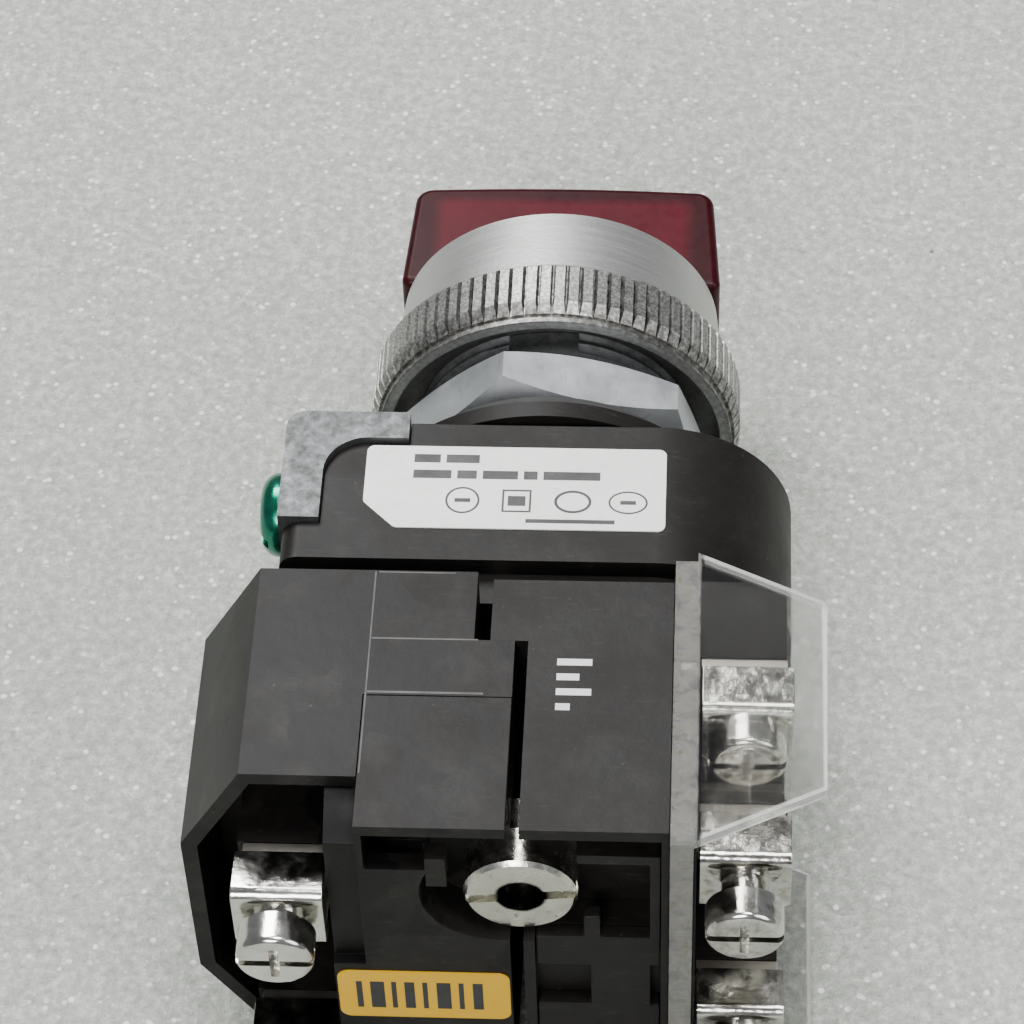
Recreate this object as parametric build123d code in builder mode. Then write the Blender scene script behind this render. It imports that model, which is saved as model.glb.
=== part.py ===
from build123d import *
import os
from math import atan2, cos, pi, sin

# Illuminated selector switch for a 30.5 mm panel hole, with two contact blocks.
# The knob faces -Y and +Z is up. The origin is on the knob's axis, in the plane of
# the panel's front face, where the knurled ring seats. Sizes are in millimetres.

os.makedirs("parts", exist_ok=True)

# Clearances
RUNNING = 0.1       # round pieces that turn or slide in each other, on the radius
LOOSE = 0.2         # pieces that are dropped into a pocket, on each side
TRAVEL_GAP = 0.2    # left between moving pieces at the end of their travel
BOLT_ROOM = 0.5     # round the long screw, on the radius
FOLLOWER_ROOM = 0.4  # round the followers where nothing guides them

# Bushing and base casting
BUSHING_R = 14.9
BUSHING_FRONT = -8.0
THREAD_PITCH = 1.5
THREAD_DEPTH = 0.75
PAD_ANGLE = 29.0            # smooth pad in the thread, degrees of turn
PAD_CENTRE = 86.0           # measured from +X towards +Z
ROTOR_BORE_R = 12.0
PLATE_FRONT = 14.2
PLATE_THICK = 3.5
PLATE_BACK = PLATE_FRONT + PLATE_THICK
CORNER_TOP = 20.5
CORNER_BOTTOM = 7.0
CORNER_ARM_X = 14.0
CORNER_LEG_X = 22.5
CORNER_OUT_X = 26.7
CORNER_LEG_END = 28.4
CORNER_INNER_FILLET = 4.5
CORNER_OUTER_FILLET = 2.0

# Knurled ring
RIM_Y = -17.9
RIM_R = 17.6
BEZEL_BASE_R = 18.9
KNURL_FRONT = -7.8
KNURL_BACK = -0.8
KNURL_R = 20.25
KNURL_ROOT_R = 19.5
KNURL_TEETH = 84
KNURL_CHAMFER = 0.6
KNURL_TAPER = 1.4            # length of the rear chamfer
KNURL_SHARES = (0.0, 0.14, 0.80, 0.94)  # root, tip, tip, root within one tooth
RING_EDGE = 0.4
RING_SEAT_R = 19.3
RING_CHAMBER_R = 16.6
RING_THREAD_FRONT = -7.6
RING_RECESS = 2.5
RING_RECESS_R = 18.0

# Nut and rings behind the panel
NUT_FLATS = 33.0
NUT_TURN = 15.0
NUT_FRONT = 2.2
NUT_THICK = 6.2
NUT_CHAMFER = 1.4
GASKET_THICK = 2.6
GASKET_R = 17.0
WASHER_THICK = 1.0
WASHER_R = 17.6
SPACER_R = 20.3
NUT_BACK = NUT_FRONT + NUT_THICK
GASKET_FRONT = NUT_BACK + LOOSE
WASHER_FRONT = GASKET_FRONT + GASKET_THICK

# Knob
KNOB_BASE_Y = -18.4
KNOB_FRONT_Y = -33.8
KNOB_BASE_HALF = 17.9
KNOB_FRONT_HALF = 16.9
KNOB_HALF_THICK = 5.5
KNOB_BOW = 0.5
KNOB_WALL = 2.2
KNOB_DISC_R = 16.2
KNOB_DISC_BACK = -9.7
KNOB_SOCKET = 2.3
KNOB_BORE_R = 8.4

# Rotor and slanted cam
ROTOR_R = ROTOR_BORE_R - RUNNING
ROTOR_INNER_R = 8.5
CAM_MID_Y = 24.0
STROKE = 2.5
FOLLOWER_X = 10.2
CAM_SLOPE = STROKE / (2 * cos(pi / 4)) / FOLLOWER_X
CLIP_GROOVE_R = 11.1
CLIP_R = 13.6
CLIP_THICK = 1.0
CLIP_FRONT = PLATE_BACK + 0.4
CLIP_MOUTH = 16.0

# Rear housing
HOUSING_FRONT = 14.6
HOUSING_BACK = 33.0
HOUSING_LOW_X = -25.6
HOUSING_HIGH_X = 26.3
HOUSING_HALF = 19.7
HOUSING_ROUND = 14.0
HOUSING_WALL = 2.5
HOUSING_FLOOR = 2.0
POST_LOW_X = (-21.0, -16.0)     # posts that carry the base plate
POST_LOW_Z = (10.0, 15.0)
POST_HIGH_X = (19.0, 24.5)
POST_HIGH_Z = (12.0, 18.0)
LABEL_X = (-12.5, 18.2)
LABEL_Y = (18.2, 29.0)
LABEL_THICK = 0.15
LABEL_CUT = 3.3

# Lamp
LAMP_R = 4.65
LAMP_FRONT = 2.0
LAMP_BACK = 24.0
SOCKET_R = 5.8
SOCKET_BORE_R = LAMP_R + RUNNING
SOCKET_FRONT = 14.0
SOCKET_FLANGE_R = 7.4
SOCKET_FLANGE_THICK = 1.5
BOARD_THICK = 1.5
BOARD_X = -18.0
BOARD_FRONT = 20.0
BOARD_HALF = 8.0
CHIP_Z = (-5.0, 0.0, 5.0)
CHIP_Y = (22.0, 27.0)
CHIP_TALL = 1.5
CHIP_HALF = 1.2

# Neck between the housing and the blocks
NECK_X = (-21.0, 24.0)
NECK_HALF = 17.5
NECK_STEP = 0.9
NECK_STEP_X = 4.9

# Contact blocks
BLOCK_FRONT_LEFT = 36.8
BLOCK_FRONT_RIGHT = BLOCK_FRONT_LEFT + NECK_STEP
BLOCK_BACK = 67.7
BLOCK_HALF = 22.5
BLOCK_WALL = 2.0
INNER_WALL = 1.4            # between a cavity and a recess
SPLIT_Y = 52.2
STEP_Y = 45.3
FRONT_GROOVE_X = (4.2, 5.8)
REAR_GROOVE_X = (0.5, 1.8)
LEFT_OUT_X = 16.2
RIGHT_OUT_X = -16.2
CAVITY_LOW_X = 7.2
CAVITY_HIGH_X = 13.4
CAVITY_HALF = 11.0
CAVITY_END = 61.0
SHROUD_TOP_X = 27.4
SHROUD_OUT_X = 34.0
SHROUD_FLAT = 10.7
SHROUD_BACK = 61.9
SHROUD_FLOOR = 50.0
SHROUD_WALL = 1.6
POCKET_IN_X = 19.6
COVER_OUT_X = 19.3
COVER_OUT_HALF = 20.5
COVER_STEP = 1.2            # the cover's outer strip lies this much lower
COVER_STEP_Z = -1.0         # and is level with the cover below this
COVER_SLANT = (5.3, 3.4)    # slanted top of the outer strip, along Y and Z
TOP_WALL = 1.5              # wall left over the rear recesses
SLOT_OUT_X = 15.4           # recess under the left cover's top wall
SLOT_FLOOR_Y = 62.0
PLATE_TOP_Z = 15.5
PLATE_EDGE = 2.0            # thickness of the rear plate over the slot
TAB_X = (7.6, 9.6)
TAB_Z = (12.8, 17.3)
HOLLOW_X = 2.5              # round hollow beside the long screw's head
HOLLOW_Z = 11.5
HOLLOW_R = 7.8
DENT_X = (9.0, 14.0)
DENT_Z = (-19.0, -13.0)
DENT_DEEP = 1.6

# Plate sunk in the rear of the right block
SUNK_X = (-12.9, -0.6)
SUNK_Z = (-17.5, 21.0)
SUNK_PLATE_TOP = 3.9
SUNK_PLATE_LOW = -1.0
SUNK_NECK_X = (-11.9, -6.0)
SUNK_NECK_LOW = -8.1
SUNK_FACE = 0.5             # below the block's rear
SUNK_THICK = 1.6
SUNK_SIDE = 1.0
SUNK_BAR_X = -4.8
SUNK_BAR_Z = (16.4, 17.8)
SUNK_BAR_THICK = 2.6
SUNK_NUB_X = (-7.0, -5.4)
SUNK_NUB_Z = 7.4

# Sticker on the left cover
STICKER_X = (2.0, 19.1)
STICKER_Z = (-10.3, -2.1)
STICKER_ROUND = 1.2

# Terminals
REAR_PAD_LEFT = 63.4
REAR_PAD_RIGHT = 59.2
FRONT_PAD = 48.1
TERMINAL_X_LEFT = 24.0
TERMINAL_X_RIGHT = 20.9
TERMINAL_Z_LEFT = (8.0, -18.2)
TERMINAL_Z_REAR = (9.8, -17.3)
TERMINAL_Z_FRONT = (18.3, -3.5)
STANDOFF_LEFT = 1.3         # from the clamp to the screw's head
STANDOFF_REAR = 2.7
STANDOFF_FRONT = 0.0
POST_HALF = 3.9             # posts under the clamps
POST_OUT_LEFT = 28.3
SHELF_OUT_X = -24.6         # the right block's shelf under the front terminals
SHELF_Z = (-20.0, 22.3)
STRIP_THICK = 1.0
STRIP_HALF = 3.8
STRIP_NECK_LONG = 2.0       # narrow part beside the guard
STRIP_NECK_HALF = 2.5
STRIP_LEG_X_LEFT = 17.2
STRIP_LEG_X_RIGHT = 14.3
STRIP_LEG_HALF = 2.0
CONTACT_Z = 8.0
CONTACT_HALF = 1.5
CLAMP_WIDE = 8.9
CLAMP_TALL = 8.4
CLAMP_THICK = 1.0
CLAMP_DEEP = 5.3
CLAMP_BEND = 1.2
SCREW_HEAD_R = 3.8
SCREW_HEAD_THICK = 3.5
SCREW_HEAD_ROUND = 0.7
SCREW_NECK_R = 2.3
SCREW_R = 1.9
SCREW_LONG = 6.0
DRIVE_WIDTH = 0.9
DRIVE_DEPTH = 1.6
DRIVE_SHARE = 0.6           # length of the short slot over the head's diameter

# Contact carriers
FOLLOWER_R = 1.8
CARRIER_START = 17.0
CARRIER_LONG = 13.0
CARRIER_HALF_X = 2.6
CARRIER_HALF_Z = 3.6
BRIDGE_THICK = 0.8
BRIDGE_HALF_X = 2.0
BRIDGE_HALF_Z = 9.6
REAR_BRIDGE = 26.9
FRONT_BRIDGE = 17.9
SPRING_R = 2.1
SPRING_WIRE_R = 0.3
SPRING_TURNS = 4

# Screw that holds the blocks
BOLT_X = 0.7
BOLT_Z = 9.8
BOLT_HEAD_R = 5.55
BOLT_FACE = 66.6
BOLT_HEAD_THICK = 4.2
BOLT_R = 1.9
BOLT_BORE_R = 2.35
BOLT_BORE_DEEP = 3.6
BOLT_SLOT_WIDTH = 1.3
BOLT_SLOT_DEEP = 1.2
BOLT_SLOT_TURN = 7.0
BOLT_SINK_ROOM = 0.6
BOLT_NECK_R = 3.4
BOLT_NECK_LONG = 5.0
BOLT_SEAT = BOLT_FACE - BOLT_HEAD_THICK
INSERT_FRONT = 27.5
INSERT_R = 4.2
BOLT_TIP = 29.0

# Across both blocks
WHOLE = (-BLOCK_HALF, BLOCK_HALF)

# Clear guard
GUARD_X = (-15.9, -13.7)
GUARD_Y = (36.1, 69.6)
GUARD_OUT = 23.9
GUARD_SINK = 1.5
FLANGE_THICK = 1.2
FLANGE_FRONT = ((-15.9, 35.0), (-28.5, 41.0))
FLANGE_BACK = ((-28.3, 63.3), (-15.9, 69.5))

# Green grounding screw
GROUND_Y = 22.3
GROUND_Z = 13.3
GROUND_HEAD_R = 4.4
GROUND_HEAD_THICK = 2.5
GROUND_R = 1.9
GROUND_LONG = 4.0


def section(y):
    """The plane across the switch's axis at y, with sketch axes along +X and +Z."""
    return Plane.XZ.offset(-y)


def slab(x, y, z, mode=Mode.ADD):
    """A box given by its two ends along each axis, in either order."""
    with Locations(((x[0] + x[1]) / 2, (y[0] + y[1]) / 2, (z[0] + z[1]) / 2)):
        Box(abs(x[1] - x[0]), abs(y[1] - y[0]), abs(z[1] - z[0]), mode=mode)


def rod(radius, y, x=0.0, z=0.0, mode=Mode.ADD):
    """A round bar along the switch's axis, or a hole with Mode.SUBTRACT."""
    with Locations((x, (y[0] + y[1]) / 2, z)):
        Cylinder(radius, y[1] - y[0], rotation=(90, 0, 0), mode=mode)


def prism(outline, y, mode=Mode.ADD):
    """A bar along the switch's axis with an outline of (x, z) points."""
    with BuildSketch(section(y[0])) as profile:
        with BuildLine():
            Polyline(*outline, close=True)
        make_face()
    extrude(profile.sketch, amount=y[0] - y[1], mode=mode)


def turned(outline, mode=Mode.ADD):
    """A ring turned about the switch's axis from (radius, y) points."""
    with BuildSketch(Plane.XY) as profile:
        with BuildLine():
            Polyline(*outline, close=True)
        make_face()
    revolve(profile.sketch, axis=Axis.Y, mode=mode)


def washer(inner, outer, front, thick):
    """A flat ring on the bushing."""
    rod(outer, (front, front + thick))
    rod(inner, (front, front + thick), mode=Mode.SUBTRACT)


def rounded(x, half, round_low, round_high, y, mode=Mode.ADD):
    """A bar with a rectangular section whose corners differ at low and high x."""
    with BuildSketch(section(y[0])) as profile:
        with Locations(((x[0] + x[1]) / 2, 0)):
            Rectangle(x[1] - x[0], 2 * half)
        fillet(profile.vertices().group_by(Axis.X)[0], round_low)
        fillet(profile.vertices().group_by(Axis.X)[-1], round_high)
    extrude(profile.sketch, amount=y[0] - y[1], mode=mode)


def save(piece, name):
    """Labels a finished piece and writes its file."""
    piece.part.label = name
    export_step(piece.part, f"parts/{name}.step")


# ---- Knurled mounting ring -------------------------------------------------------

def knurl_outline():
    """Points of the toothed outline: root, tip, tip, root for each tooth."""
    step = 2 * pi / KNURL_TEETH
    radii = (KNURL_ROOT_R, KNURL_R, KNURL_R, KNURL_ROOT_R)
    points = []
    for tooth in range(KNURL_TEETH):
        for radius, share in zip(radii, KNURL_SHARES):
            angle = (tooth + share) * step
            points.append((radius * cos(angle), radius * sin(angle)))
    return points


with BuildPart() as mounting_ring:
    prism(knurl_outline(), (KNURL_FRONT, KNURL_BACK))
    turned(
        [
            (0, KNURL_FRONT),
            (KNURL_R - KNURL_CHAMFER, KNURL_FRONT),
            (KNURL_R, KNURL_FRONT + KNURL_CHAMFER),
            (KNURL_R, KNURL_BACK - KNURL_TAPER),
            (KNURL_R - KNURL_CHAMFER, KNURL_BACK),
            (0, KNURL_BACK),
        ],
        mode=Mode.INTERSECT,
    )
    turned(
        [
            (0, RIM_Y),
            (RIM_R - RING_EDGE, RIM_Y),
            (RIM_R, RIM_Y + RING_EDGE),
            (BEZEL_BASE_R - RING_EDGE, KNURL_FRONT - 3 * RING_EDGE),
            (BEZEL_BASE_R, KNURL_FRONT),
            (RING_SEAT_R, KNURL_FRONT + RING_EDGE),
            (RING_SEAT_R, 0),
            (0, 0),
        ]
    )
    rod(RING_CHAMBER_R, (RIM_Y, RING_THREAD_FRONT), mode=Mode.SUBTRACT)
    rod(BUSHING_R + RUNNING, (RIM_Y, 0), mode=Mode.SUBTRACT)
    rod(RING_RECESS_R, (-RING_RECESS, 0), mode=Mode.SUBTRACT)
save(mounting_ring, "mounting_ring")


# ---- Zinc base with its threaded bushing -----------------------------------------

def corner_bracket(grow=0.0, mode=Mode.ADD):
    """The exposed L-shaped corner: an arm along X and a leg along Y."""
    top = CORNER_TOP + 2 * grow
    low_x = CORNER_ARM_X - grow
    leg_x = CORNER_LEG_X - grow
    out_x = CORNER_OUT_X + grow
    front = PLATE_FRONT - grow
    arm_back = PLATE_BACK + grow
    leg_back = CORNER_LEG_END + grow
    with BuildSketch(Plane.XY.offset(CORNER_BOTTOM - grow)) as profile:
        with BuildLine():
            Polyline(
                (low_x, front), (out_x, front), (out_x, leg_back),
                (leg_x, leg_back), (leg_x, arm_back), (low_x, arm_back),
                close=True,
            )
        make_face()
        inner = profile.vertices().sort_by_distance((leg_x, arm_back))[0]
        fillet(inner, CORNER_INNER_FILLET - grow)
        outer = profile.vertices().sort_by_distance((out_x, front))[0]
        fillet(outer, CORNER_OUTER_FILLET)
    extrude(profile.sketch, amount=top - CORNER_BOTTOM + grow, mode=mode)


def base_plate(grow, y, mode=Mode.ADD):
    """The plate inside the housing, with the housing's rounded outline."""
    x = (HOUSING_LOW_X + HOUSING_WALL - grow, HOUSING_HIGH_X - HOUSING_WALL + grow)
    half = HOUSING_HALF - HOUSING_WALL + grow
    rounded(x, half, HOUSING_ROUND - HOUSING_WALL, 1.0, y, mode)


with BuildPart() as operator_base:
    rod(BUSHING_R, (BUSHING_FRONT, PLATE_BACK))
    base_plate(-LOOSE, (PLATE_FRONT + 0.6, PLATE_BACK))
    rod(SPACER_R - 3.5, (PLATE_FRONT, PLATE_BACK))
    corner_bracket()
    thread_start = Plane.XY.rotated((0, -(PAD_CENTRE + PAD_ANGLE / 2), 0))
    with BuildSketch(thread_start) as thread_grooves:
        turns = int((NUT_BACK - BUSHING_FRONT) / THREAD_PITCH) - 1
        for turn in range(turns):
            root = BUSHING_FRONT + (turn + 1) * THREAD_PITCH
            with BuildLine():
                Polyline(
                    (BUSHING_R + 0.1, root - 0.48 * THREAD_PITCH),
                    (BUSHING_R - THREAD_DEPTH, root - 0.08 * THREAD_PITCH),
                    (BUSHING_R - THREAD_DEPTH, root + 0.08 * THREAD_PITCH),
                    (BUSHING_R + 0.1, root + 0.48 * THREAD_PITCH),
                    close=True,
                )
            make_face()
    revolve(
        thread_grooves.sketch,
        axis=Axis.Y,
        revolution_arc=-(360 - PAD_ANGLE),
        mode=Mode.SUBTRACT,
    )
    rod(ROTOR_BORE_R, (BUSHING_FRONT, PLATE_BACK), mode=Mode.SUBTRACT)
    with Locations(Location((CORNER_OUT_X, GROUND_Y, GROUND_Z), (0, 90, 0))):
        Cylinder(GROUND_R + 0.05, 2 * GROUND_LONG, mode=Mode.SUBTRACT)
save(operator_base, "operator_base")


# ---- Nut, gasket and rings -------------------------------------------------------

with BuildPart() as hex_nut:
    with BuildSketch(section(NUT_FRONT)) as flats:
        RegularPolygon(NUT_FLATS / 2, 6, major_radius=False, rotation=NUT_TURN)
    extrude(flats.sketch, amount=-NUT_THICK)
    corner_r = NUT_FLATS / 2 / cos(pi / 6)
    turned(
        [
            (0, NUT_FRONT),
            (NUT_FLATS / 2 - 0.3, NUT_FRONT),
            (corner_r, NUT_FRONT + NUT_CHAMFER),
            (corner_r, NUT_BACK - NUT_CHAMFER),
            (NUT_FLATS / 2 - 0.3, NUT_BACK),
            (0, NUT_BACK),
        ],
        mode=Mode.INTERSECT,
    )
    rod(BUSHING_R + RUNNING, (NUT_FRONT, NUT_BACK), mode=Mode.SUBTRACT)
save(hex_nut, "hex_nut")

with BuildPart() as panel_gasket:
    washer(BUSHING_R + LOOSE, GASKET_R, GASKET_FRONT, GASKET_THICK)
save(panel_gasket, "panel_gasket")

with BuildPart() as thrust_washer:
    washer(BUSHING_R + LOOSE, WASHER_R, WASHER_FRONT, WASHER_THICK)
save(thrust_washer, "thrust_washer")

with BuildPart() as front_spacer:
    spacer_front = WASHER_FRONT + WASHER_THICK
    washer(BUSHING_R + LOOSE, SPACER_R, spacer_front, PLATE_FRONT - spacer_front)
save(front_spacer, "front_spacer")


# ---- Knob, rotor and what turns with them ----------------------------------------

with BuildPart() as selector_knob:
    with BuildSketch(Plane.XY.offset(-KNOB_HALF_THICK)) as paddle:
        with BuildLine():
            Line((-KNOB_BASE_HALF, KNOB_BASE_Y), (KNOB_BASE_HALF, KNOB_BASE_Y))
            Line((KNOB_BASE_HALF, KNOB_BASE_Y), (KNOB_FRONT_HALF, KNOB_FRONT_Y + KNOB_BOW))
            ThreePointArc(
                (KNOB_FRONT_HALF, KNOB_FRONT_Y + KNOB_BOW),
                (0, KNOB_FRONT_Y),
                (-KNOB_FRONT_HALF, KNOB_FRONT_Y + KNOB_BOW),
            )
            Line((-KNOB_FRONT_HALF, KNOB_FRONT_Y + KNOB_BOW), (-KNOB_BASE_HALF, KNOB_BASE_Y))
        make_face()
        fillet(paddle.vertices().group_by(Axis.Y)[0], 2.0)
        fillet(paddle.vertices().group_by(Axis.Y)[-1], 1.0)
    extrude(paddle.sketch, amount=2 * KNOB_HALF_THICK)
    long_edges = selector_knob.faces().sort_by(Axis.Z)[-1].edges()
    fillet(long_edges + selector_knob.faces().sort_by(Axis.Z)[0].edges(), 0.9)
    rod(KNOB_DISC_R, (KNOB_BASE_Y - 0.2, KNOB_DISC_BACK))
    socket_y = KNOB_DISC_BACK - KNOB_SOCKET
    rod(ROTOR_R + 0.05, (socket_y, KNOB_DISC_BACK), mode=Mode.SUBTRACT)
    rod(KNOB_BORE_R, (KNOB_BASE_Y, KNOB_DISC_BACK), mode=Mode.SUBTRACT)
    inside = KNOB_FRONT_HALF - KNOB_WALL
    inside_z = KNOB_HALF_THICK - KNOB_WALL
    light_back = KNOB_BASE_Y + 1.0
    slab(
        (-inside, inside),
        (KNOB_FRONT_Y + KNOB_WALL, light_back),
        (-inside_z, inside_z),
        mode=Mode.SUBTRACT,
    )
save(selector_knob, "selector_knob")

with BuildPart() as lamp_diffuser:
    slab(
        (LOOSE - inside, inside - LOOSE),
        (KNOB_FRONT_Y + KNOB_WALL + LOOSE, light_back - LOOSE),
        (LOOSE - inside_z, inside_z - LOOSE),
    )
    rod(KNOB_BORE_R - LOOSE, (KNOB_BASE_Y + LOOSE, socket_y - 1.0))
save(lamp_diffuser, "lamp_diffuser")

with BuildPart() as rotor_cam:
    rod(ROTOR_R, (socket_y, CAM_MID_Y + 2 * STROKE))
    rod(ROTOR_INNER_R, (socket_y, CAM_MID_Y + 2 * STROKE), mode=Mode.SUBTRACT)
    turned(
        [
            (CLIP_GROOVE_R, CLIP_FRONT - 0.1),
            (ROTOR_R + 1, CLIP_FRONT - 0.1),
            (ROTOR_R + 1, CLIP_FRONT + CLIP_THICK + 0.1),
            (CLIP_GROOVE_R, CLIP_FRONT + CLIP_THICK + 0.1),
        ],
        mode=Mode.SUBTRACT,
    )
    slope = CAM_SLOPE * cos(pi / 4)
    split(bisect_by=Plane((0, CAM_MID_Y, 0), z_dir=(slope, 1, -slope)), keep=Keep.BOTTOM)
save(rotor_cam, "rotor_cam")

with BuildPart() as rotor_seal:
    seal_front = KNOB_DISC_BACK
    seal_thick = BUSHING_FRONT - KNOB_DISC_BACK - 0.3
    washer(ROTOR_R + 0.05, KNOB_DISC_R - 1.8, seal_front, seal_thick)
save(rotor_seal, "rotor_seal")

with BuildPart() as retaining_clip:
    washer(CLIP_GROOVE_R + 0.05, CLIP_R, CLIP_FRONT, CLIP_THICK)
    mouth = (CLIP_FRONT - 1, CLIP_FRONT + CLIP_THICK + 1)
    slab((-CLIP_MOUTH / 2, CLIP_MOUTH / 2), mouth, (-CLIP_R - 1, 0), mode=Mode.SUBTRACT)
save(retaining_clip, "retaining_clip")


# ---- Housing behind the base, with the lamp in it --------------------------------

with BuildPart() as module_housing:
    rounded(
        (HOUSING_LOW_X, HOUSING_HIGH_X), HOUSING_HALF, HOUSING_ROUND, 2.0,
        (HOUSING_FRONT, HOUSING_BACK),
    )
    front_edges = module_housing.faces().sort_by(Axis.Y)[0].outer_wire().edges()
    chamfer(front_edges, 0.5)
    base_plate(0, (HOUSING_FRONT, HOUSING_BACK - HOUSING_FLOOR), mode=Mode.SUBTRACT)
    for post_x, post_z in ((POST_LOW_X, POST_LOW_Z), (POST_HIGH_X, POST_HIGH_Z)):
        for end in (-1, 1):
            height = (end * post_z[0], end * post_z[1])
            slab(post_x, (PLATE_BACK, HOUSING_BACK - HOUSING_FLOOR / 2), height)
    corner_bracket(grow=0.15, mode=Mode.SUBTRACT)
    rod(INSERT_R + 1.5, (INSERT_FRONT, HOUSING_BACK), BOLT_X, BOLT_Z)
    rod(INSERT_R + 0.02, (INSERT_FRONT, HOUSING_BACK), BOLT_X, BOLT_Z, Mode.SUBTRACT)
    for side in (-1, 1):
        follower_hole = (HOUSING_BACK - HOUSING_FLOOR - 1, HOUSING_BACK)
        rod(FOLLOWER_R + RUNNING, follower_hole, side * FOLLOWER_X, 0, Mode.SUBTRACT)
save(module_housing, "module_housing")

with BuildPart() as label_plate:
    with BuildSketch(Plane.XY.offset(HOUSING_HALF)) as label_outline:
        with BuildLine():
            Polyline(
                (LABEL_X[0], LABEL_Y[0]), (LABEL_X[1], LABEL_Y[0]),
                (LABEL_X[1], LABEL_Y[1] - LABEL_CUT), (LABEL_X[1] - LABEL_CUT, LABEL_Y[1]),
                (LABEL_X[0], LABEL_Y[1]),
                close=True,
            )
        make_face()
        fillet(label_outline.vertices(), 0.8)
    extrude(label_outline.sketch, amount=LABEL_THICK)
save(label_plate, "label_plate")

with BuildPart() as lamp_socket:
    socket_back = HOUSING_BACK - HOUSING_FLOOR
    rod(SOCKET_R, (SOCKET_FRONT, socket_back))
    rod(SOCKET_FLANGE_R, (socket_back - SOCKET_FLANGE_THICK, socket_back))
    rod(SOCKET_BORE_R, (SOCKET_FRONT, LAMP_BACK), mode=Mode.SUBTRACT)
    rod(INSERT_R + 1.6, (INSERT_FRONT - 0.1, socket_back), BOLT_X, BOLT_Z, Mode.SUBTRACT)
save(lamp_socket, "lamp_socket")

with BuildPart() as led_lamp:
    rod(LAMP_R, (LAMP_FRONT + LAMP_R, LAMP_BACK))
    with Locations((0, LAMP_FRONT + LAMP_R, 0)):
        Sphere(LAMP_R)
save(led_lamp, "led_lamp")

with BuildPart() as circuit_board:
    board = (BOARD_X, BOARD_X + BOARD_THICK)
    slab(board, (BOARD_FRONT, socket_back), (-BOARD_HALF, BOARD_HALF))
    for chip_z in CHIP_Z:
        chip = (board[1], board[1] + CHIP_TALL)
        slab(chip, CHIP_Y, (chip_z - CHIP_HALF, chip_z + CHIP_HALF))
save(circuit_board, "circuit_board")

with BuildPart() as screw_insert:
    rod(INSERT_R, (INSERT_FRONT, HOUSING_BACK), BOLT_X, BOLT_Z)
    rod(BOLT_R + 0.02, (INSERT_FRONT, HOUSING_BACK), BOLT_X, BOLT_Z, Mode.SUBTRACT)
save(screw_insert, "screw_insert")

with BuildPart() as ground_screw:
    out = Plane((CORNER_OUT_X, GROUND_Y, GROUND_Z), z_dir=(1, 0, 0))
    with BuildSketch(out) as ground_head:
        Circle(GROUND_HEAD_R)
    extrude(ground_head.sketch, amount=GROUND_HEAD_THICK)
    dome_edge = ground_screw.faces().sort_by(Axis.X)[-1].edges()
    fillet(dome_edge, GROUND_HEAD_THICK - 0.6)
    with BuildSketch(out) as ground_shank:
        Circle(GROUND_R)
    extrude(ground_shank.sketch, amount=-GROUND_LONG)
    slot_x = (CORNER_OUT_X + GROUND_HEAD_THICK - 0.9, CORNER_OUT_X + GROUND_HEAD_THICK + 1)
    slot_z = (GROUND_Z - 0.6, GROUND_Z + 0.6)
    slab(slot_x, (GROUND_Y - 6, GROUND_Y + 6), slot_z, mode=Mode.SUBTRACT)
save(ground_screw, "ground_screw")

with BuildPart() as adapter_plate:
    rounded(NECK_X, NECK_HALF, 10.0, 3.0, (HOUSING_BACK, BLOCK_FRONT_LEFT))
    slab((NECK_X[0] + 4, NECK_STEP_X), (BLOCK_FRONT_LEFT, BLOCK_FRONT_RIGHT), (-14.0, 14.0))
    neck = (HOUSING_BACK, BLOCK_FRONT_RIGHT)
    rod(BOLT_R + BOLT_ROOM, neck, BOLT_X, BOLT_Z, Mode.SUBTRACT)
    for side in (-1, 1):
        rod(FOLLOWER_R + FOLLOWER_ROOM, neck, side * FOLLOWER_X, 0, Mode.SUBTRACT)
save(adapter_plate, "adapter_plate")


# ---- Terminals -------------------------------------------------------------------

def strip(side, x, z, pad, contact_z, foot, grow=0.0, mode=Mode.ADD):
    """A terminal strip: pad under the clamp, leg along Y and foot at the bridge.

    foot is the y of the face that the bridge touches. A rear foot lies behind that
    face, and a front foot lies in front of it.
    """
    away = STRIP_THICK if foot == REAR_FOOT else -STRIP_THICK
    foot_y = sorted((foot, foot + away))
    foot_y = (foot_y[0] - grow, foot_y[1] + grow)
    outer = side * (x + STRIP_HALF + grow)
    leg_x = STRIP_LEG_X_LEFT if side > 0 else STRIP_LEG_X_RIGHT
    leg = (side * (leg_x - grow), side * (leg_x + STRIP_THICK + grow))
    inner = side * (FOLLOWER_X - BRIDGE_HALF_X)
    low_z = min(z - STRIP_LEG_HALF, contact_z - CONTACT_HALF) - grow
    high_z = max(z + STRIP_LEG_HALF, contact_z + CONTACT_HALF) + grow
    pad_y = (pad - STRIP_THICK - grow, pad + grow)
    wide_x = leg_x + STRIP_NECK_LONG
    neck_half = STRIP_NECK_HALF + grow
    slab((leg[0], side * wide_x), pad_y, (z - neck_half, z + neck_half), mode)
    pad_x = (side * (wide_x - grow), outer)
    slab(pad_x, pad_y, (z - STRIP_HALF - grow, z + STRIP_HALF + grow), mode)
    slab(leg, (foot_y[0], pad_y[1]), (low_z, high_z), mode)
    contact = (contact_z - CONTACT_HALF - grow, contact_z + CONTACT_HALF + grow)
    slab((inner, leg[1]), foot_y, contact, mode)


LEFT_TIP = CAM_MID_Y - STROKE / 2 + TRAVEL_GAP + 0.05
RIGHT_TIP = LEFT_TIP + STROKE
REAR_FOOT = RIGHT_TIP + REAR_BRIDGE + BRIDGE_THICK + TRAVEL_GAP
FRONT_FOOT = LEFT_TIP + FRONT_BRIDGE - TRAVEL_GAP

UP, DOWN = CONTACT_Z, -CONTACT_Z

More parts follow.
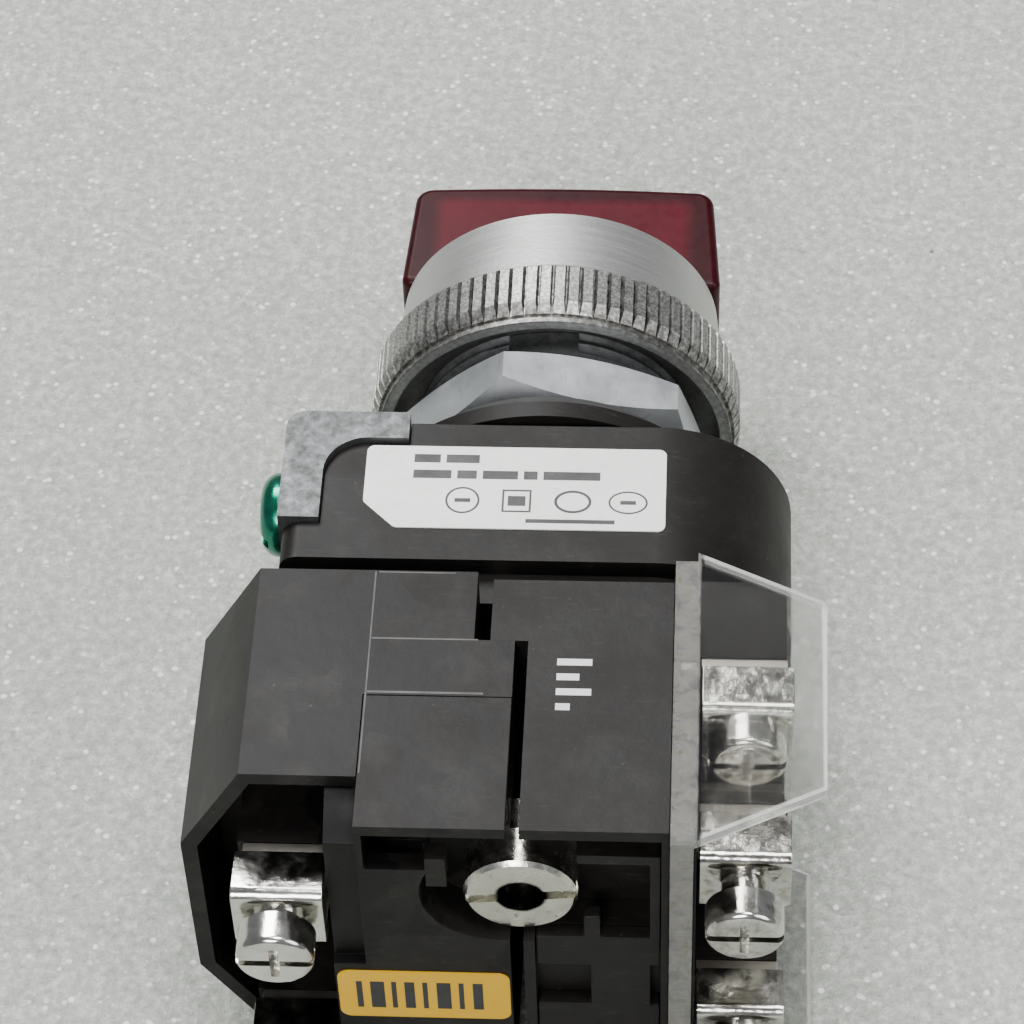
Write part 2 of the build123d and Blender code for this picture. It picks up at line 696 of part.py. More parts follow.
# Place: side, x, z, y of the pad, standoff of the screw's head, z and y of the foot
TERMINALS = {
    "left_upper":
        (1, TERMINAL_X_LEFT, TERMINAL_Z_LEFT[0], REAR_PAD_LEFT, STANDOFF_LEFT, UP, REAR_FOOT),
    "left_lower":
        (1, TERMINAL_X_LEFT, TERMINAL_Z_LEFT[1], REAR_PAD_LEFT, STANDOFF_LEFT, DOWN, REAR_FOOT),
    "right_upper":
        (-1, TERMINAL_X_RIGHT, TERMINAL_Z_REAR[0], REAR_PAD_RIGHT, STANDOFF_REAR, UP, REAR_FOOT),
    "right_lower":
        (-1, TERMINAL_X_RIGHT, TERMINAL_Z_REAR[1], REAR_PAD_RIGHT, STANDOFF_REAR, DOWN, REAR_FOOT),
    "front_upper":
        (-1, TERMINAL_X_RIGHT, TERMINAL_Z_FRONT[0], FRONT_PAD, STANDOFF_FRONT, UP, FRONT_FOOT),
    "front_lower":
        (-1, TERMINAL_X_RIGHT, TERMINAL_Z_FRONT[1], FRONT_PAD, STANDOFF_FRONT, DOWN, FRONT_FOOT),
}


def terminal_pockets(wanted):
    """Room in a block for the strips and screws of the terminals on one side."""
    for side, x, z, pad, _, contact_z, foot in TERMINALS.values():
        if side == wanted:
            strip(side, x, z, pad, contact_z, foot, LOOSE / 2, Mode.SUBTRACT)
            depth = (pad - SCREW_LONG - BOLT_ROOM, pad)
            rod(SCREW_R + FOLLOWER_ROOM, depth, side * x, z, Mode.SUBTRACT)


def post(x, z, y):
    """A post of a block under one terminal."""
    slab(x, y, (max(z - POST_HALF, SHROUD_WALL - BLOCK_HALF), z + POST_HALF))


for place, (side, x, z, pad, standoff, contact_z, foot) in TERMINALS.items():
    with BuildPart() as terminal_strip:
        strip(side, x, z, pad, contact_z, foot)
        rod(SCREW_R + RUNNING, (pad - 2 * STRIP_THICK, pad), side * x, z, Mode.SUBTRACT)
    save(terminal_strip, f"strip_{place}")

    with BuildPart() as clamp:
        front = pad + LOOSE
        back = front + CLAMP_DEEP
        wide = (side * x - CLAMP_WIDE / 2, side * x + CLAMP_WIDE / 2)
        slab(wide, (front, back), (z - CLAMP_TALL / 2, z + CLAMP_TALL / 2))
        bends = clamp.faces().sort_by(Axis.Y)[-1].edges().filter_by(Axis.X)
        fillet(bends, CLAMP_BEND)
        gap = (z - CLAMP_TALL / 2 + CLAMP_THICK, z + CLAMP_TALL / 2 - CLAMP_THICK)
        slab(wide, (front, back - CLAMP_THICK), gap, mode=Mode.SUBTRACT)
        rod(SCREW_R + LOOSE, (front, back), side * x, z, Mode.SUBTRACT)
    save(clamp, f"clamp_{place}")

    with BuildPart() as terminal_screw:
        seat = back + standoff
        face = seat + SCREW_HEAD_THICK
        rod(SCREW_HEAD_R, (seat, face), side * x, z)
        rim = terminal_screw.faces().sort_by(Axis.Y)[-1].edges()
        fillet(rim, SCREW_HEAD_ROUND)
        if standoff:
            rod(SCREW_NECK_R, (back, seat), side * x, z)
        rod(SCREW_R, (pad - SCREW_LONG, seat), side * x, z)
        drive = (face - DRIVE_DEPTH, face)
        half = DRIVE_WIDTH / 2
        long_slot = (side * x - SCREW_HEAD_R, side * x + SCREW_HEAD_R)
        slab(long_slot, drive, (z - half, z + half), mode=Mode.SUBTRACT)
        reach = DRIVE_SHARE * SCREW_HEAD_R
        short_slot = (z - reach, z + reach)
        slab((side * x - half, side * x + half), drive, short_slot, mode=Mode.SUBTRACT)
    save(terminal_screw, f"screw_{place}")


# ---- Contact blocks --------------------------------------------------------------

def shroud_outline(inset=0.0):
    """Half-hexagon of the shroud's outer side, moved inwards by inset."""
    lean = atan2(SHROUD_OUT_X - SHROUD_TOP_X, BLOCK_HALF - SHROUD_FLAT)
    shift = inset / cos(lean)
    top = BLOCK_HALF - inset
    top_x = SHROUD_TOP_X - shift + inset * (SHROUD_OUT_X - SHROUD_TOP_X) / (BLOCK_HALF - SHROUD_FLAT)
    out_x = SHROUD_OUT_X - inset
    flat = SHROUD_FLAT - inset * sin(lean) / (1 + cos(lean))
    start = POCKET_IN_X if inset else LEFT_OUT_X - 0.5
    return [(start, top), (top_x, top), (out_x, flat), (out_x, -flat), (top_x, -top), (start, -top)]


def bolt_room(y):
    """The stepped hole for the screw between the blocks, over a range of y."""
    rod(BOLT_R + BOLT_ROOM, (y[0], BOLT_SEAT), BOLT_X, BOLT_Z, Mode.SUBTRACT)
    if y[1] > BOLT_SEAT:
        neck_y = (BOLT_SEAT - BOLT_NECK_LONG - BOLT_ROOM, BOLT_SEAT)
        rod(BOLT_NECK_R + BOLT_ROOM, neck_y, BOLT_X, BOLT_Z, Mode.SUBTRACT)
        sink = BOLT_HEAD_R + BOLT_SINK_ROOM
        rod(sink, (BOLT_SEAT, BLOCK_BACK), BOLT_X, BOLT_Z, Mode.SUBTRACT)


with BuildPart() as left_case:
    case_back = SPLIT_Y - RUNNING / 2
    slab((FRONT_GROOVE_X[1], LEFT_OUT_X), (BLOCK_FRONT_LEFT, STEP_Y), WHOLE)
    slab((REAR_GROOVE_X[1], LEFT_OUT_X), (STEP_Y, case_back), WHOLE)
    prism(shroud_outline(), (BLOCK_FRONT_LEFT, SHROUD_BACK))
    slab((0, LEFT_OUT_X), (case_back, BLOCK_BACK), WHOLE, mode=Mode.SUBTRACT)
    inside_half = BLOCK_HALF - SHROUD_WALL
    beside = (LEFT_OUT_X - RUNNING, POCKET_IN_X + RUNNING)
    slab(beside, (case_back, BLOCK_BACK), (-inside_half, inside_half), mode=Mode.SUBTRACT)
    prism(shroud_outline(SHROUD_WALL), (SHROUD_FLOOR, SHROUD_BACK), mode=Mode.SUBTRACT)
    for post_z in TERMINAL_Z_LEFT:
        post_y = (SHROUD_FLOOR - 1, REAR_PAD_LEFT - STRIP_THICK - RUNNING / 2)
        post((POCKET_IN_X, POST_OUT_LEFT), post_z, post_y)
    cavity_y = (BLOCK_FRONT_LEFT + BLOCK_WALL, SPLIT_Y)
    cavity = (-CAVITY_HALF, CAVITY_HALF)
    slab((CAVITY_LOW_X, CAVITY_HIGH_X), cavity_y, cavity, mode=Mode.SUBTRACT)
    follower_y = (BLOCK_FRONT_LEFT, SPLIT_Y)
    rod(FOLLOWER_R + FOLLOWER_ROOM, follower_y, FOLLOWER_X, 0, Mode.SUBTRACT)
    bolt_room((BLOCK_FRONT_LEFT, SPLIT_Y))
    terminal_pockets(1)
save(left_case, "left_case")

with BuildPart() as left_cover:
    slab((REAR_GROOVE_X[1], LEFT_OUT_X - RUNNING), (SPLIT_Y, BLOCK_BACK), WHOLE)
    outer_x = (LEFT_OUT_X - 2 * RUNNING, COVER_OUT_X)
    outer_half = (-COVER_OUT_HALF, COVER_OUT_HALF)
    slab(outer_x, (SPLIT_Y, BLOCK_BACK - COVER_STEP), outer_half)
    slab(outer_x, (SPLIT_Y, BLOCK_BACK), (-COVER_OUT_HALF, COVER_STEP_Z))
    with BuildSketch(Plane.YZ.offset(LEFT_OUT_X)) as slant:
        with BuildLine():
            Polyline(
                (BLOCK_BACK, COVER_OUT_HALF),
                (BLOCK_BACK - COVER_SLANT[0], COVER_OUT_HALF),
                (BLOCK_BACK, COVER_OUT_HALF - COVER_SLANT[1]),
                close=True,
            )
        make_face()
    extrude(slant.sketch, amount=COVER_OUT_X - LEFT_OUT_X, mode=Mode.SUBTRACT)
    slab((CAVITY_LOW_X, CAVITY_HIGH_X), (SPLIT_Y, CAVITY_END), cavity, mode=Mode.SUBTRACT)
    slot_x = (REAR_GROOVE_X[1], SLOT_OUT_X)
    slot_z = (PLATE_TOP_Z, BLOCK_HALF - TOP_WALL)
    slab(slot_x, (SLOT_FLOOR_Y, BLOCK_BACK), slot_z, mode=Mode.SUBTRACT)
    under_y = (SLOT_FLOOR_Y, BLOCK_BACK - PLATE_EDGE)
    under_z = (CAVITY_HALF + INNER_WALL, PLATE_TOP_Z)
    slab((TAB_X[1], SLOT_OUT_X), under_y, under_z, mode=Mode.SUBTRACT)
    rod(HOLLOW_R, (BOLT_SEAT, BLOCK_BACK), HOLLOW_X, HOLLOW_Z, Mode.SUBTRACT)
    slab(TAB_X, (BLOCK_BACK - PLATE_EDGE, BLOCK_BACK), TAB_Z)
    slab(DENT_X, (BLOCK_BACK - DENT_DEEP, BLOCK_BACK), DENT_Z, mode=Mode.SUBTRACT)
    bolt_room((SPLIT_Y, BLOCK_BACK))
    terminal_pockets(1)
save(left_cover, "left_cover")

with BuildPart() as right_case:
    slab((RIGHT_OUT_X, FRONT_GROOVE_X[0]), (BLOCK_FRONT_RIGHT, STEP_Y), WHOLE)
    slab((RIGHT_OUT_X, REAR_GROOVE_X[0]), (STEP_Y, BLOCK_BACK), WHOLE)
    shelf = (SHELF_OUT_X, RIGHT_OUT_X + 0.5)
    front_seat = FRONT_PAD - STRIP_THICK
    slab(shelf, (BLOCK_FRONT_RIGHT, front_seat), SHELF_Z)
    for post_z in TERMINAL_Z_REAR:
        post(shelf, post_z, (front_seat - 0.5, REAR_PAD_RIGHT - STRIP_THICK))
    cavity_y = (BLOCK_FRONT_RIGHT + BLOCK_WALL, CAVITY_END)
    slab((-CAVITY_LOW_X, -CAVITY_HIGH_X), cavity_y, cavity, mode=Mode.SUBTRACT)
    deep_z = (SUNK_PLATE_TOP, SUNK_Z[1])
    slab((SUNK_X[0], REAR_GROOVE_X[0]), (BOLT_SEAT, BLOCK_BACK), deep_z, mode=Mode.SUBTRACT)
    plate_y = (BLOCK_BACK - SUNK_FACE - SUNK_THICK, BLOCK_BACK)
    slab(SUNK_X, plate_y, (SUNK_Z[0], SUNK_PLATE_TOP), mode=Mode.SUBTRACT)
    follower_y = (BLOCK_FRONT_RIGHT, SPLIT_Y)
    rod(FOLLOWER_R + FOLLOWER_ROOM, follower_y, -FOLLOWER_X, 0, Mode.SUBTRACT)
    sunk = BLOCK_HALF - GUARD_SINK - RUNNING
    groove = (GUARD_X[0] - RUNNING, GUARD_X[1] + RUNNING)
    for end in (-1, 1):
        groove_z = (end * sunk, end * GUARD_OUT)
        slab(groove, (BLOCK_FRONT_RIGHT, GUARD_Y[1]), groove_z, mode=Mode.SUBTRACT)
    groove_y = (BLOCK_BACK - GUARD_SINK - RUNNING, GUARD_Y[1])
    slab(groove, groove_y, WHOLE, mode=Mode.SUBTRACT)
    bolt_room((BLOCK_FRONT_RIGHT, BLOCK_BACK))
    terminal_pockets(-1)
save(right_case, "right_case")

with BuildPart() as right_cover:
    in_x = (SUNK_X[0] + RUNNING, SUNK_X[1] - RUNNING)
    face_y = BLOCK_BACK - SUNK_FACE
    cover_y = (face_y - SUNK_THICK + RUNNING / 2, face_y)
    slab(in_x, cover_y, (SUNK_PLATE_LOW, SUNK_PLATE_TOP))
    slab(SUNK_NECK_X, cover_y, (SUNK_NECK_LOW, SUNK_PLATE_LOW))
    slab(in_x, cover_y, (SUNK_Z[0] + RUNNING, SUNK_NECK_LOW))
    slab((in_x[0], in_x[0] + SUNK_SIDE), cover_y, (SUNK_PLATE_TOP, SUNK_BAR_Z[1]))
    slab((in_x[0], SUNK_BAR_X), (face_y - SUNK_BAR_THICK, face_y), SUNK_BAR_Z)
    slab(SUNK_NUB_X, cover_y, (SUNK_PLATE_TOP, SUNK_NUB_Z))
save(right_cover, "right_cover")

with BuildPart() as marker_sticker:
    slab(STICKER_X, (BLOCK_BACK, BLOCK_BACK + LABEL_THICK), STICKER_Z)
    fillet(marker_sticker.edges().filter_by(Axis.Y), STICKER_ROUND)
save(marker_sticker, "marker_sticker")


# ---- Contact carriers, bridges and springs ---------------------------------------

for name, side, tip in (("left", 1, LEFT_TIP), ("right", -1, RIGHT_TIP)):
    centre = side * FOLLOWER_X
    body_y = (tip + CARRIER_START, tip + CARRIER_START + CARRIER_LONG)
    bridges = (REAR_BRIDGE,) if side > 0 else (FRONT_BRIDGE, REAR_BRIDGE)
    with BuildPart() as carrier:
        rod(FOLLOWER_R, (tip + FOLLOWER_R, body_y[0] + 0.5), centre)
        with Locations((centre, tip + FOLLOWER_R, 0)):
            Sphere(FOLLOWER_R)
        across = (centre - CARRIER_HALF_X, centre + CARRIER_HALF_X)
        slab(across, body_y, (-CARRIER_HALF_Z, CARRIER_HALF_Z))
        chamfer(carrier.faces().sort_by(Axis.Y)[-1].edges(), 0.5)
        for start in bridges:
            slot = (tip + start, tip + start + BRIDGE_THICK)
            slot_x = (centre - BRIDGE_HALF_X - 0.05, centre + BRIDGE_HALF_X + 0.05)
            slab(slot_x, slot, (-10, 10), mode=Mode.SUBTRACT)
    save(carrier, f"{name}_carrier")

    with BuildPart() as bridge:
        for start in bridges:
            slot = (tip + start + 0.05, tip + start + BRIDGE_THICK - 0.05)
            slot_x = (centre - BRIDGE_HALF_X, centre + BRIDGE_HALF_X)
            slab(slot_x, slot, (-BRIDGE_HALF_Z, BRIDGE_HALF_Z))
    save(bridge, f"{name}_bridge")

    with BuildPart() as spring:
        room = SPRING_WIRE_R + RUNNING / 2
        spring_y = (body_y[1] + room, CAVITY_END - room)
        height = spring_y[1] - spring_y[0]
        with BuildLine() as coil:
            Helix(height / SPRING_TURNS, height, SPRING_R, (centre, spring_y[0], 0), (0, 1, 0))
        with BuildSketch(Plane(coil.line @ 0, z_dir=coil.line % 0)) as wire:
            Circle(SPRING_WIRE_R)
        sweep(wire.sketch, path=coil.line)
    save(spring, f"{name}_spring")


# ---- Screw and guard -------------------------------------------------------------

with BuildPart() as mounting_screw:
    rod(BOLT_HEAD_R, (BOLT_SEAT, BOLT_FACE), BOLT_X, BOLT_Z)
    chamfer(mounting_screw.faces().sort_by(Axis.Y)[-1].edges(), 0.4)
    rod(BOLT_NECK_R, (BOLT_SEAT - BOLT_NECK_LONG, BOLT_SEAT), BOLT_X, BOLT_Z)
    rod(BOLT_R, (BOLT_TIP, BOLT_SEAT), BOLT_X, BOLT_Z)
    with Locations(Location((BOLT_X, BOLT_FACE, BOLT_Z), (0, BOLT_SLOT_TURN, 0))):
        Box(4 * BOLT_HEAD_R, 2 * BOLT_SLOT_DEEP, BOLT_SLOT_WIDTH, mode=Mode.SUBTRACT)
    bore = (BOLT_FACE - BOLT_BORE_DEEP, BOLT_FACE)
    rod(BOLT_BORE_R, bore, BOLT_X, BOLT_Z, Mode.SUBTRACT)
save(mounting_screw, "mounting_screw")

with BuildPart() as clear_guard:
    sunk = BLOCK_HALF - GUARD_SINK
    slab(GUARD_X, GUARD_Y, (-GUARD_OUT, GUARD_OUT))
    slab((-20, 0), (GUARD_Y[0] - 1, BLOCK_BACK - GUARD_SINK), (-sunk, sunk), mode=Mode.SUBTRACT)
    for base in (GUARD_OUT - FLANGE_THICK, -GUARD_OUT):
        with BuildSketch(Plane.XY.offset(base)) as flange:
            with BuildLine():
                Polyline(*FLANGE_FRONT, *FLANGE_BACK, close=True)
            make_face()
            fillet(flange.vertices().group_by(Axis.X)[0], 1.0)
        extrude(flange.sketch, amount=FLANGE_THICK)
save(clear_guard, "clear_guard")
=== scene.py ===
from math import cos, pi, radians, sin

import bmesh
import bpy
from mathutils import Matrix, Vector


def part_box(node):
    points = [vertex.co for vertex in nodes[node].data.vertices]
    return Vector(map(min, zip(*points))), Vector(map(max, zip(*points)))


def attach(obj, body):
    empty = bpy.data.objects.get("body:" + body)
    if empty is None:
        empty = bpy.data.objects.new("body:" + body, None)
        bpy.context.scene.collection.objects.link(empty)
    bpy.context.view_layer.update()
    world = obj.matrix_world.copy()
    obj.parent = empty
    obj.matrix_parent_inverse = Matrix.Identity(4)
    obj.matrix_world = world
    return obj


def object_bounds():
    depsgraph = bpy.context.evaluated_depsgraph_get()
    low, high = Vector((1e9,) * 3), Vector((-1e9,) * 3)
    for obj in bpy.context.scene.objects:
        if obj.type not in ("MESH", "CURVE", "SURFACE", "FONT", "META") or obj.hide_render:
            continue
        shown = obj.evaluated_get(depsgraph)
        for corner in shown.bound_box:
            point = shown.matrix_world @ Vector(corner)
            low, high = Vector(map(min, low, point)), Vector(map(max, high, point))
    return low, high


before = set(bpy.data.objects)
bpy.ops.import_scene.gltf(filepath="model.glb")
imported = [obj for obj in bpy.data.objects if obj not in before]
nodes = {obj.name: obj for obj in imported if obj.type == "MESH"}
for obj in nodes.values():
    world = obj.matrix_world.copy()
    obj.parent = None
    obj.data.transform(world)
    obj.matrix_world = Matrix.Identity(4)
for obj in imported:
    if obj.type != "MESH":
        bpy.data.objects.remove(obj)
cad_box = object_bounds()
MM = 0.001

# Places on the pieces where the dirt, wear, painted shade and painted light change, in millimetres
# of the frame.
RING_RADIUS = 20
KNURL_TIPS = (19.95, 21)
KNURL_ROOTS = (19.2, 20.0)
RING_REAR = (-2.6, 2)
RING_SHADED_INSIDE = (0, 18.1)
SCREW_BORE = (-1000, 2.75)
DAMP_BAND = (14.6, 20.6)
KNOB_HOLLOW_ACROSS = (-14.2, 14.2)
KNOB_HOLLOW_ALONG = (-31.4, -10)
# The guard's side flap narrows towards its outer edge, from FLAP_ROOT outwards.
FLAP_ROOT = -15.9
FLAP_ACROSS = (-31, -16.5)
FLAP_FRONT_SLOPE = 6.0 / 12.6
FLAP_REAR_SLOPE = 6.2 / 12.4
FLAP_FRONT_RIM = (30, 35.5)
FLAP_REAR_RIM = (69.0, 75)


# ---- Shader helpers --------------------------------------------------------------

class Finish:
    """A procedural material: a Principled shader and the nodes that feed it."""

    def __init__(self, name, **sockets):
        self.material = bpy.data.materials.new(name)
        self.material.use_nodes = True
        self.tree = self.material.node_tree
        self.shader = self.tree.nodes["Principled BSDF"]
        for socket, value in sockets.items():
            self.shader.inputs[socket.replace("_", " ")].default_value = value
        self.place = self.node("TexCoord").outputs["Object"]

    def node(self, kind, **values):
        made = self.tree.nodes.new("ShaderNode" + kind)
        for key, value in values.items():
            setattr(made, key, value)
        return made

    def feed(self, socket, value):
        if isinstance(value, bpy.types.NodeSocket):
            self.tree.links.new(value, socket)
        else:
            socket.default_value = value

    def math(self, operation, a, b=0.0, clamp=False):
        made = self.node("Math", operation=operation, use_clamp=clamp)
        self.feed(made.inputs[0], a)
        self.feed(made.inputs[1], b)
        return made.outputs[0]

    def noise(self, size, detail=3.0, roughness=0.55, at=None, stretch=(1, 1, 1)):
        """Noise whose lumps are about size millimetres across."""
        scaled = self.node("Mapping")
        self.feed(scaled.inputs["Vector"], at or self.place)
        scaled.inputs["Scale"].default_value = stretch
        made = self.node("TexNoise")
        made.inputs["Scale"].default_value = 1 / (size * MM)
        made.inputs["Detail"].default_value = detail
        made.inputs["Roughness"].default_value = roughness
        self.feed(made.inputs["Vector"], scaled.outputs[0])
        return made.outputs["Fac"]

    def specks(self, size):
        """Distance to the nearest of random points about size millimetres apart."""
        made = self.node("TexVoronoi")
        made.inputs["Scale"].default_value = 1 / (size * MM)
        self.feed(made.inputs["Vector"], self.place)
        return made.outputs["Distance"]

    def steps(self, value, *stops):
        """A ramp from (position, grey or colour) stops."""
        made = self.node("ValToRGB")
        self.feed(made.inputs["Fac"], value)
        elements = made.color_ramp.elements
        while len(elements) < len(stops):
            elements.new(0.5)
        for element, (position, colour) in zip(elements, stops):
            element.position = position
            grey = (colour,) * 3 if isinstance(colour, (int, float)) else colour
            element.color = (*grey, 1)
        return made.outputs["Color"]

    def mix(self, share, a, b):
        """From a to b, two colours, as share goes from 0 to 1."""
        made = self.node("Mix", data_type="RGBA")
        self.feed(made.inputs[0], share)
        for socket, colour in ((made.inputs[6], a), (made.inputs[7], b)):
            self.feed(socket, (*colour, 1) if isinstance(colour, tuple) else colour)
        return made.outputs[2]

    def over(self, base, mask, amount, colour):
        """Base with a colour laid over it where mask is 1, as strongly as amount."""
        return self.mix(self.math("MULTIPLY", mask, amount), base, colour)

    def axis(self, name):
        made = self.node("SeparateXYZ")
        self.feed(made.inputs[0], self.place)
        return made.outputs[name]

    def between(self, value, low, high, soft):
        """1 where value, in metres, lies from low to high millimetres, with soft edges."""
        made = []
        for edge, sign in ((low, 1), (high, -1)):
            past = self.math("SUBTRACT", value, edge * MM)
            lift = self.math("MULTIPLY", past, sign / (soft * MM))
            made.append(self.math("ADD", lift, 0.5, clamp=True))
        return self.math("MULTIPLY", *made)

    def distance(self, a, b):
        """How far the point (a, b) is from (0, 0)."""
        squares = self.math("ADD", self.math("MULTIPLY", a, a), self.math("MULTIPLY", b, b))
        return self.math("SQRT", squares)

    def round_about_axis(self):
        """Coordinates (way round, y, radius) about the knob's axis, in metres, and radius."""
        x, z = self.axis("X"), self.axis("Z")
        radius = self.distance(x, z)
        angle = self.math("MULTIPLY", self.math("ARCTAN2", x, z), RING_RADIUS * MM)
        made = self.node("CombineXYZ")
        for socket, value in zip(made.inputs, (angle, self.axis("Y"), radius)):
            self.feed(socket, value)
        return made.outputs[0], radius

    def colour(self, value):
        self.feed(self.shader.inputs["Base Color"], value)

    def rough(self, value):
        self.feed(self.shader.inputs["Roughness"], value)

    def bump(self, *layers):
        """Bump from (height, depth in millimetres) layers."""
        normal = None
        for height, depth in layers:
            made = self.node("Bump")
            made.inputs["Distance"].default_value = depth * MM
            self.feed(made.inputs["Height"], height)
            if normal:
                self.feed(made.inputs["Normal"], normal)
            normal = made.outputs[0]
        self.feed(self.shader.inputs["Normal"], normal)


# ---- Materials -------------------------------------------------------------------

def black_plastic(name, dusty=0.5, wet=0.0):
    """Charcoal moulded plastic with dust, handling marks and darker damp patches."""
    made = Finish(name, Specular_IOR_Level=0.20)
    grain = made.noise(0.30, 4)
    cloud = made.noise(9, 5)
    dust = made.steps(made.noise(3.2, 6, 0.7), (0.48, 0), (0.78, 1))
    scuffs = made.steps(made.noise(2.5, 3, 0.5, stretch=(1, 9, 4)), (0.62, 0), (0.70, 1))
    specks = made.steps(made.specks(2.6), (0.035, 1), (0.06, 0))
    base = made.mix(cloud, (0.0046, 0.0040, 0.0037), (0.0088, 0.0076, 0.0068))
    base = made.over(base, dust, dusty * 0.4, (0.034, 0.030, 0.027))
    base = made.over(base, scuffs, 0.2, (0.040, 0.039, 0.038))
    base = made.over(base, specks, 0.3 * dusty, (0.16, 0.15, 0.14))
    roughness = made.steps(cloud, (0.3, 0.44), (0.7, 0.56))
    if wet:
        band = made.between(made.axis("X"), *DAMP_BAND, 5)
        lean = made.math("ADD", made.noise(7, 3, 0.45), made.math("MULTIPLY", band, 0.16))
        damp = made.math("MULTIPLY", made.steps(lean, (0.535, 0), (0.550, 1)), wet)
        base = made.mix(damp, base, (0.0012, 0.0012, 0.0013))
        roughness = made.mix(damp, roughness, (0.47, 0.47, 0.47))
    made.colour(base)
    made.rough(roughness)
    made.bump((grain, 0.010), (made.noise(1.6, 4), 0.03))
    return made.material


def ring_aluminium():
    """Turned aluminium with fine marks round it, a dirty, worn knurl and painted shade inside the
    ring.
    """
    made = Finish("ring_aluminium", Metallic=1.0)
    turned, radius = made.round_about_axis()
    lines = made.noise(0.16, 3, 0.6, at=turned, stretch=(0.02, 1, 1))
    long_lines = made.noise(0.6, 4, 0.6, at=turned, stretch=(0.05, 1, 1))
    patches = made.noise(4, 4)
    wear = made.noise(0.7, 5, 0.7)
    base = made.mix(patches, (0.50, 0.505, 0.49), (0.60, 0.605, 0.59))
    base = made.mix(made.steps(lines, (0.35, 0.12), (0.6, 0)), base, (0.34, 0.34, 0.33))
    tips = made.between(radius, *KNURL_TIPS, 0.2)
    pits = made.steps(made.noise(0.35, 4, 0.7), (0.44, 1), (0.58, 0))
    worn = made.math("MULTIPLY", tips, made.math("ADD", made.math("MULTIPLY", pits, 0.6), 0.15))
    base = made.mix(worn, base, (0.13, 0.125, 0.115))
    dirt = made.steps(wear, (0.40, 1), (0.62, 0.15))
    base = made.over(base, made.between(radius, *KNURL_ROOTS, 0.4), dirt, (0.10, 0.095, 0.085))
    rear = made.between(made.axis("Y"), *RING_REAR, 0.8)
    grime = made.steps(wear, (0.42, 0.5), (0.66, 0.1))
    base = made.over(base, rear, grime, (0.12, 0.115, 0.105))
    # Painted shade: towards its rear, the inside of the ring is darkened to near black.
    base = made.over(base, made.between(radius, *RING_SHADED_INSIDE, 0.2), rear, (0.05, 0.05, 0.048))
    made.colour(base)
    made.rough(made.steps(long_lines, (0.3, 0.42), (0.7, 0.50)))
    made.bump((lines, 0.002), (wear, 0.03))
    return made.material


def cast_zinc():
    """Dull mottled cast zinc."""
    made = Finish("cast_zinc", Metallic=0.85)
    mottle = made.noise(1.4, 6, 0.7)
    dark, light = (0.065, 0.065, 0.065), (0.1455, 0.15, 0.1545)
    base = made.mix(made.steps(mottle, (0.35, 0), (0.65, 1)), dark, light)
    base = made.over(base, made.noise(6, 3), 0.5, (0.095, 0.097, 0.096))
    made.colour(base)
    made.rough(made.steps(mottle, (0.3, 0.60), (0.7, 0.40)))
    made.bump((mottle, 0.04), (made.noise(0.3, 3), 0.02))
    return made.material


def pale_nut():
    """Pale matt zinc with tool marks."""
    made = Finish("pale_nut", Metallic=0.9)
    cloud = made.noise(5, 5, 0.6)
    marks = made.steps(made.noise(0.7, 3, 0.5, stretch=(1, 0.3, 1)), (0.60, 0), (0.68, 1))
    base = made.mix(cloud, (0.42, 0.44, 0.46), (0.60, 0.62, 0.64))
    base = made.over(base, marks, 0.25, (0.25, 0.26, 0.27))
    made.colour(base)
    made.rough(made.steps(cloud, (0.3, 0.38), (0.7, 0.52)))
    made.bump((cloud, 0.02), (made.noise(0.5, 4), 0.008))
    return made.material


def nickel(name, tarnish):
    """Bright nickel plate with tarnish, from 0 to 1, and uneven wear."""
    made = Finish(name, Metallic=1.0)
    stain = made.steps(made.noise(1.8, 5, 0.65), (0.62 - 0.3 * tarnish, 0), (0.78, 1))
    haze = made.noise(2.2, 4)
    wear = made.steps(made.noise(0.9, 5, 0.7), (0.56, 0), (0.72, 1))
    base = made.mix(haze, (0.44, 0.43, 0.39), (0.80, 0.79, 0.75))
    base = made.over(base, stain, min(1, 2 * tarnish), (0.10, 0.08, 0.055))
    base = made.over(base, wear, 0.6 * tarnish, (0.06, 0.05, 0.04))
    made.colour(base)
    made.rough(made.steps(haze, (0.35, 0.10), (0.7, 0.26)))
    made.bump((made.noise(0.6, 4), 0.020), (made.noise(2.5, 2), 0.10))
    return made.material


def slotted_nickel():
    """Nickel plate with painted shade filling the bore in the middle of the screw's head."""
    made = Finish("slotted_nickel", Metallic=1.0)
    low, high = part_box("mounting_screw")
    across = made.math("SUBTRACT", made.axis("X"), (low.x + high.x) / 2)
    up = made.math("SUBTRACT", made.axis("Z"), (low.z + high.z) / 2)
    # Painted shade: the bore, given a ragged edge, is darkened to near black.
    ragged = made.math("MULTIPLY", made.noise(1.2, 4), 0.5 * MM)
    bore = made.between(made.math("ADD", made.distance(across, up), ragged), *SCREW_BORE, 0.3)
    haze = made.noise(2.2, 5, 0.65)
    spots = made.steps(made.noise(0.8, 5, 0.7), (0.60, 0), (0.70, 1))
    base = made.mix(haze, (0.42, 0.41, 0.36), (0.80, 0.79, 0.72))
    base = made.over(base, spots, 0.7, (0.10, 0.09, 0.07))
    made.colour(made.over(base, bore, 0.92, (0.02, 0.018, 0.015)))
    made.rough(made.steps(haze, (0.35, 0.16), (0.7, 0.34)))
    made.bump((made.noise(0.6, 4), 0.03), (made.noise(2.5, 2), 0.06))
    return made.material


